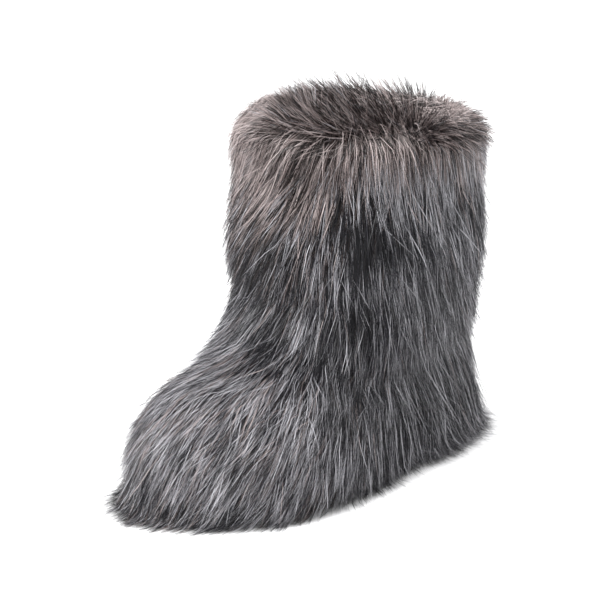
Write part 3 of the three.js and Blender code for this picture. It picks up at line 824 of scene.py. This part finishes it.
def coat_hair(name, seed, low, high, locks):
    """Hair that grows between two rows, in locks."""
    dice = Dice(seed, locks)
    lock_row, lock_turn = scattered(dice.rng, locks, low, high)
    dice.gather()
    root_row, root_turn = rooted(dice, lock_row, lock_turn, low, high)
    guard = dice.some(GUARD_SHARE)
    length = dice.by_strand(*HAIR_LENGTH) + dice.by_hair(-LENGTH_PLAY, LENGTH_PLAY)
    length = length + guard * dice.by_hair(*GUARD_LENGTH)
    lock_wander = dice.rng.normal(0, LOCK_WANDER, locks)
    stray = dice.some(STRAY_SHARE)
    wander = lock_wander[dice.lock] + dice.bell(0.06, 0.02)
    wander = wander + stray * dice.rng.normal(0, STRAY_WANDER, HAIRS)
    steps = POINTS - 1
    own = follow(root_row, root_turn, length / steps, wander, steps)
    middle = follow(lock_row, lock_turn, LOCK_LENGTH / steps, lock_wander, steps)
    row, turn = drawn_together(dice, own, middle)
    row, turn, left = ended(row, turn, hem_rows(dice, row, turn, guard))
    paths, normal = raised(dice, row, turn, stray | guard)
    stiffness = dice.by_strand(0.1, 0.5) * (1 - 0.85 * rise(root_row, SOFT_ROW, 1))
    paths = stiffened(paths, normal, length * left, stiffness)
    paths = paths + dice.rng.normal(0, JITTER, paths.shape) * TO_TIP[:, None]
    flick = stray * np.random.default_rng(seed + 100).uniform(*FLICK, HAIRS)
    paths = paths + normal * (flick[:, None] * TO_TIP**2)[..., None]
    paths[..., 2] = np.maximum(paths[..., 2], dice.by_hair(*FLOOR_PLAY)[:, None])
    paths = np.clip(paths, TRIM_LOW, TRIM_HIGH)
    colour = coat_tone(dice, paths[:, 2], normal[:, 2], guard)
    width = dice.by_hair(*HAIR_WIDTH)
    return hair_mesh(name, paths, normal, width, dice.by_hair(-TWIST, TWIST), colour)


# %% Grow the foot and the shaft
foot_low = coat_hair("foot_hair_low", 11, 0.8, 5.5, 2000)
foot_high = coat_hair("foot_hair_high", 12, 3.0, 10.6, 2000)
shaft_low = coat_hair("shaft_hair_low", 13, 10.0, 12.4, 1700)
shaft_high = coat_hair("shaft_hair_high", 14, 11.9, 14.3, 1600)

# %% [markdown]
# ## The collar
#
# Round the rim the hair is brown, and it doesn't follow the coat: each hair is an arc of its own
# that starts on the rim's round edge. The comb went along the sweep. So at the far side the hair
# lies over the edge of the mouth, at the near side it rises, and where the sweep starts and ends
# it falls outwards and droops.

# %% The rim and its zones
RIM = SKIN[RIM_ROW * FINE]
RIM_OUT = unit(NORMAL[RIM_ROW * FINE] * (1, 1, 0))
COLLAR_CORE = (-3 * MM, -3 * MM, 12 * MM, 13 * MM)  # middle out, middle up, reach out, reach up
RIM_ANGLES = (35, 190)  # degrees over the rim, from level on the outside
FLYAWAY_SHARE = 0.08
TUFT_FROM = 0.94  # locks whose draw is above this stand up
COLLAR_LENGTH, COLLAR_PLAY = (26 * MM, 46 * MM), 3 * MM
COLLAR_WIDTH = (0.3 * MM, 0.62 * MM)
COLLAR_TONE, COLLAR_END_TONE, COLLAR_WARM = 0.41, 0.26, 0.9


def around_rim(values, turn):
    """A ring's values at any turn."""
    along = (turn % 1.0) * AROUND
    j = along.astype(int) % AROUND
    t = (along - np.floor(along))[..., None]
    return mix(values[j], values[(j + 1) % AROUND], t)


def rim_zones(out):
    """How far a place on the rim faces the sweep, and how much it is at the sweep's end, at its
    start and on the near side."""
    facing = out @ SWEEP
    end = rise(facing, 0.45, 0.4)
    start = rise(-facing, 0.5, 0.4)
    near = rise(out @ OUTER_FRONT, -0.5, 1.1)
    return facing, end, start, near


def collar_ways(out, radial, angle, tuft):
    """Directions of the collar's hairs: out of the rim, up as far as the zone and the lock's tuft
    say, and along the rim with the sweep. At the sweep's end they fall outwards instead."""
    facing, end, start, near = rim_zones(out)
    outer = np.maximum(np.cos(angle)[:, None], 0)
    inner = rise(angle, 1.7, 1.0)[:, None]
    flow = mix(0.15, 1.1, rise(facing, -1, 0.7))[:, None]
    stand = mix(0.04, 0.40, near) + 0.3 * np.exp(-((facing - 0.55) / 0.3) ** 2)
    stand = stand + 0.22 * tuft**2 + 0.6 * (tuft > TUFT_FROM)
    stand = stand * (1 - 0.5 * end) * (1 - 0.5 * start)
    way = mix(0.3, 0.1, inner) * radial + (0.7 * start + 0.15)[:, None] * out
    way = way - stand[:, None] * DOWN + flow * (SWEEP - facing[:, None] * out)
    fallen = mix(0.7, 0.4, outer) * out + (0.8 * outer - 0.3 * inner) * DOWN
    return mix(unit(way), fallen, end[:, None])


# %% Grow the collar
def collar_hair(name, seed, locks):
    """Hair on the rim's round edge, from outside below it, over it, to the inside. Each is an arc:
    its way times its length, plus a droop that grows with the square of the way."""
    dice = Dice(seed, locks)
    lock_turn = dice.rng.random(locks)
    lock_angle = np.radians(dice.rng.uniform(*RIM_ANGLES, locks))
    dice.gather()
    turn = lock_turn[dice.lock] + dice.bell(0.012, 0.001)
    angle = lock_angle[dice.lock] + dice.bell(0.2, 0.03)
    rim, out = around_rim(RIM, turn), unit(around_rim(RIM_OUT, turn))
    mid_out, mid_up, reach_out, reach_up = COLLAR_CORE
    cos, sin = np.cos(angle)[:, None], np.sin(angle)[:, None]
    root = rim + out * (mid_out + reach_out * cos) - DOWN * (mid_up + reach_up * sin)
    radial = out * cos - DOWN * sin
    _, end, start, _ = rim_zones(out)
    tuft = dice.by_lock(0, 1)
    way = collar_ways(out, radial, angle, tuft)
    flyaway = dice.some(FLYAWAY_SHARE)[:, None]
    way = way + dice.rng.normal(0, 0.2, (locks, 3))[dice.lock]
    way = way + dice.rng.normal(0, 0.08, (dice.strands, 3))[dice.strand]
    way = way + flyaway * (dice.rng.normal(0, 0.35, (HAIRS, 3)) - 0.25 * DOWN)
    length = dice.by_strand(*COLLAR_LENGTH) * (1 - 0.25 * start - 0.3 * end)
    length = (length + dice.by_hair(-COLLAR_PLAY, COLLAR_PLAY)) * (1 + 0.25 * flyaway[:, 0])
    t = TO_TIP[None, :, None]
    droop = (0.2 * np.maximum(cos, 0) + 0.3 * (end + start)[:, None] + 0.02) * DOWN
    arc = t * unit(way)[:, None] + t * t * droop[:, None]
    paths = root[:, None] + length[:, None, None] * arc
    paths = np.clip(paths + dice.rng.normal(0, JITTER, paths.shape) * t, TRIM_LOW, TRIM_HIGH)
    facing_out = np.repeat(unit(radial - 0.2 * DOWN)[:, None], POINTS, axis=1)
    light = COLLAR_TONE + COLLAR_END_TONE * end + dice.lock_bell(0.12)
    light = mottled(dice, light, tuft > TUFT_FROM)
    colour = palette_place(light, dice.some(COLLAR_WARM))
    width = dice.by_hair(*COLLAR_WIDTH) * (1 - 0.3 * flyaway[:, 0])
    return hair_mesh(name, paths, facing_out, width, dice.by_hair(-TWIST, TWIST), colour)


collar = collar_hair("collar_hair", 15, 1100)

# %% [markdown]
# ## The wool under the hair
#
# Between the long hairs one sees dense short wool, nearly black. It is a closed wall on the
# upper, a little less deep than the roots of the hair, with a ring of its own round the rim. Both
# are one grid whose rows go round the wall's section, with the last row joined to the first.

# %% Closed walls and short pile
SKIP = 2  # every second place round a row is enough for wool and fleece
COARSE = 3  # and every third fine row


def closed_piece(name, loop, material):
    """A grid joined to itself both ways: the last row to the first, and each row's ends."""
    rows, around = loop.shape[:2]
    i, j = np.meshgrid(np.arange(rows), np.arange(around), indexing="ij")
    i2, j2 = (i + 1) % rows, (j + 1) % around
    faces = np.stack([i * around + j, i * around + j2, i2 * around + j2, i2 * around + j], axis=-1)
    return mesh_piece(name, loop.reshape(-1, 3), faces.reshape(-1, 4), material)


def wall(name, grid, faces_out, thickness, material):
    """A closed wall: the grid, and the same grid pushed in by its thickness."""
    inner = grid - faces_out * thickness
    return closed_piece(name, np.concatenate([grid, inner[::-1]])[:, ::SKIP], material)


def fuzz_material(name, dark, light, scale, depth):
    """Short pile: fine rough noise chooses between a dark and a light, and bumps the surface."""
    material, nodes, links, shader = new_material(name, 0.95)
    place = nodes.new("ShaderNodeTexCoord")
    tufts = noise_node(nodes, links, place.outputs["Object"], scale, 8)
    tufts.inputs["Roughness"].default_value = 0.7
    shade = ramp(nodes, links, tufts.outputs["Fac"], [(0.3, dark), (0.7, light)])
    links.new(shade, shader.inputs["Base Color"])
    bumped(nodes, links, shader, tufts.outputs["Fac"], depth)
    return material


# %% Wool on the foot and the shaft
SEAM = 10 * FINE + 2  # fine row where the foot's wool meets the shaft's
HEM_LIFT = 6 * MM
WOOL = fuzz_material("dense_wool", (0.008, 0.008, 0.010), (0.045, 0.044, 0.050), 260, 1.5 * MM)
wool_height = PILE * (ROOT_SHARE + 0.02)
lift = (smooth(1 - POSITIONS) * HEM_LIFT)[:, None, None] * (-DOWN)
wool_face = SKIN + NORMAL * wool_height + lift
wool_depth = wool_height - 0.4 * MM
foot_wool, shaft_wool = (
    wall(name, wool_face[part], NORMAL[part], wool_depth[part], WOOL)
    for name, part in (
        ("foot_wool", slice(0, SEAM + 2, COARSE)),
        ("shaft_wool", slice(SEAM, RIM_ROW * FINE + 6, COARSE)),
    )
)

# %% Wool round the rim, and what each piece stands for
BROWN_WOOL = fuzz_material(
    "brown_wool", (0.010, 0.007, 0.006), (0.050, 0.038, 0.033), 260, 1.5 * MM
)


def collar_ring(name, material):
    """A ring of wool round the rim: an oval section carried along it."""
    mid_out, mid_up, reach_out, reach_up = COLLAR_CORE
    angle = np.radians(np.arange(0, 360, 15))[:, None, None]
    out = RIM_OUT * (mid_out + reach_out * np.cos(angle))
    ring = RIM + out - DOWN * (mid_up + reach_up * np.sin(angle))
    return closed_piece(name, ring[:, ::SKIP], material)


collar_wool = collar_ring("collar_wool", BROWN_WOOL)
for node, pieces in (
    ("foot_fur", (foot_wool, foot_low, foot_high)),
    ("shaft_fur", (shaft_wool, shaft_low, shaft_high)),
    ("collar_fur", (collar_wool, collar)),
):
    for piece in pieces:
        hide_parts(node)
    print(node, "is shown as", [piece.name for piece in pieces])

# %% [markdown]
# ## The fleece lining
#
# Inside, such a boot is lined with short curly fleece from the footbed to the rim. The photograph
# doesn't show it, so its grey is a guess. It is a second closed wall, just inside the upper's own,
# whose inner face is lifted and lowered at random, each place averaged with its neighbours so that
# the curls are a few millimetres wide.

# %% Lining
UPPER_WALL = 3 * MM
LINING_GAP = 0.3 * MM
LINING_DEPTH = 4.5 * MM
LINING_START = 20  # fine row, near the footbed
CURL_HEIGHT = 0.8 * MM


def curls(rng, rows, around):
    """Random heights, averaged over three by three neighbours and scaled back to about 1."""
    heights = rng.normal(0, 1, (rows, around))
    for axis in (0, 1):
        heights = np.roll(heights, 1, axis) + heights + np.roll(heights, -1, axis)
    return heights[..., None] / 3


FLEECE = fuzz_material("grey_fleece", (0.10, 0.098, 0.098), (0.36, 0.35, 0.345), 170, 1.2 * MM)
lining_part = slice(LINING_START, RIM_ROW * FINE + 1, COARSE)
lining_face = (SKIN - NORMAL * (UPPER_WALL + LINING_GAP))[lining_part]
curl = curls(np.random.default_rng(16), *lining_face.shape[:2])
lining_depth = LINING_DEPTH + CURL_HEIGHT * curl
wall("fleece_lining", lining_face, NORMAL[lining_part], lining_depth, FLEECE)

# %% [markdown]
# ## Rubber, backing cloth and footbed
#
# The three CAD parts keep their shape and get finishes. The sole is matt black rubber with a
# fine moulded grain and some dust low down. The upper is the fur's knitted backing cloth. The
# footbed has the lining's fleece, pressed flatter and darker where a foot stands.

# %% Rubber
DUST_HEIGHT = 16 * MM
DUST = [(0.3, (0.010, 0.010, 0.012)), (0.75, (0.050, 0.047, 0.044))]
RANGE_SOCKETS = ("From Min", "From Max", "To Min", "To Max")


def map_range(nodes, links, value, *limits):
    """A value socket carried over from the range of the first two limits to that of the last two."""
    node = nodes.new("ShaderNodeMapRange")
    for socket, limit in zip(RANGE_SOCKETS, limits):
        node.inputs[socket].default_value = limit
    links.new(value, node.inputs["Value"])
    return node.outputs["Result"]


def product(nodes, links, first, second):
    """Two value sockets multiplied."""
    node = nodes.new("ShaderNodeMath")
    node.operation = "MULTIPLY"
    links.new(first, node.inputs[0])
    links.new(second, node.inputs[1])
    return node.outputs["Value"]


def rubber_material():
    """Black rubber: dust is a coarse noise times a fade that is strongest at the floor."""
    material, nodes, links, shader = new_material("black_rubber", 0.6)
    place = nodes.new("ShaderNodeTexCoord").outputs["Object"]
    apart = nodes.new("ShaderNodeSeparateXYZ")
    links.new(place, apart.inputs[0])
    fade = map_range(nodes, links, apart.outputs["Z"], 0, DUST_HEIGHT, 1, 0.45)
    dust = noise_node(nodes, links, place, 70, 6)
    dusty = product(nodes, links, dust.outputs["Fac"], fade)
    links.new(ramp(nodes, links, dusty, DUST), shader.inputs["Base Color"])
    links.new(map_range(nodes, links, dusty, 0, 1, 0.5, 0.9), shader.inputs["Roughness"])
    grain = noise_node(nodes, links, place, 1500, 2)
    bumped(nodes, links, shader, grain.outputs["Fac"], 0.2 * MM)
    return material


# %% Knitted cloth
RIB = 1.2 * MM
YARN = [(0.0, (0.020, 0.020, 0.022)), (0.8, (0.085, 0.083, 0.088))]


def rib_node(nodes, links, place, direction):
    """Fine parallel ribs: a wave on the object's coordinates that repeats at every rib."""
    ribs = nodes.new("ShaderNodeTexWave")
    ribs.bands_direction = direction
    ribs.inputs["Scale"].default_value = math.tau / (20 * RIB)
    ribs.inputs["Distortion"].default_value = 0.6
    links.new(place, ribs.inputs["Vector"])
    return ribs.outputs["Fac"]


def backing_material():
    """Knitted cloth: ribs along it times ribs across it."""
    material, nodes, links, shader = new_material("knitted_backing", 0.9)
    place = nodes.new("ShaderNodeTexCoord").outputs["Object"]
    slanted, level = (rib_node(nodes, links, place, way) for way in ("DIAGONAL", "Z"))
    knit = product(nodes, links, slanted, level)
    links.new(ramp(nodes, links, knit, YARN), shader.inputs["Base Color"])
    bumped(nodes, links, shader, knit, 0.5 * MM)
    return material


# %% Put the finishes on the CAD parts
FOOTBED = fuzz_material(
    "footbed_fleece", (0.07, 0.068, 0.068), (0.26, 0.252, 0.248), 240, 0.7 * MM
)
for node, material in (
    ("outsole", rubber_material()), ("upper", backing_material()), ("insole", FOOTBED),
):
    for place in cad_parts[node].material_slots:
        place.material = material
    print(node, "is", material.name)

# %% [markdown]
# ## Floor and light
#
# The photograph has a white ground and soft light from above, with hardly a shadow. A pale floor,
# a white world and two large square lights give that.

# %% Floor
FLOOR_REACH = 12


def plane_floor():
    """A plain pale floor."""
    mesh = bpy.data.meshes.new("floor")
    corners = FLOOR_REACH * np.array([(-1, -1, 0), (1, -1, 0), (1, 1, 0), (-1, 1, 0)])
    mesh.from_pydata(corners.tolist(), [], [(0, 1, 2, 3)])
    material, _, _, shader = new_material("pale_floor", 0.9)
    shader.inputs["Base Color"].default_value = (0.93, 0.93, 0.935, 1)
    shader.inputs["Specular IOR Level"].default_value = 0.0
    mesh.materials.append(material)
    floor = bpy.data.objects.new("floor", mesh)
    bpy.context.collection.objects.link(floor)


plane_floor()
print("floor", 2 * FLOOR_REACH, "m wide")

# %% Lights
BOOT_MIDDLE = Vector((0, 0, 0.12))


def area_light(name, place, size, power):
    """A soft square light that faces the boot."""
    data = bpy.data.lights.new(name, "AREA")
    data.size = size
    data.energy = power
    light = bpy.data.objects.new(name, data)
    light.location = place
    light.rotation_euler = (Vector(place) - BOOT_MIDDLE).to_track_quat("Z", "Y").to_euler()
    bpy.context.collection.objects.link(light)
    print(name, power, "W")


area_light("key_light", (-0.5, -1.5, 2.2), 1.0, 92)
area_light("top_light", (0.3, 0.9, 2.3), 1.6, 43)
world = bpy.data.worlds.new("studio")
bpy.context.scene.world = world
world.use_nodes = True
world.node_tree.nodes["Background"].inputs["Color"].default_value = (1, 1, 1, 1)
world.node_tree.nodes["Background"].inputs["Strength"].default_value = 1.0
bpy.context.scene.view_settings.view_transform = "Standard"
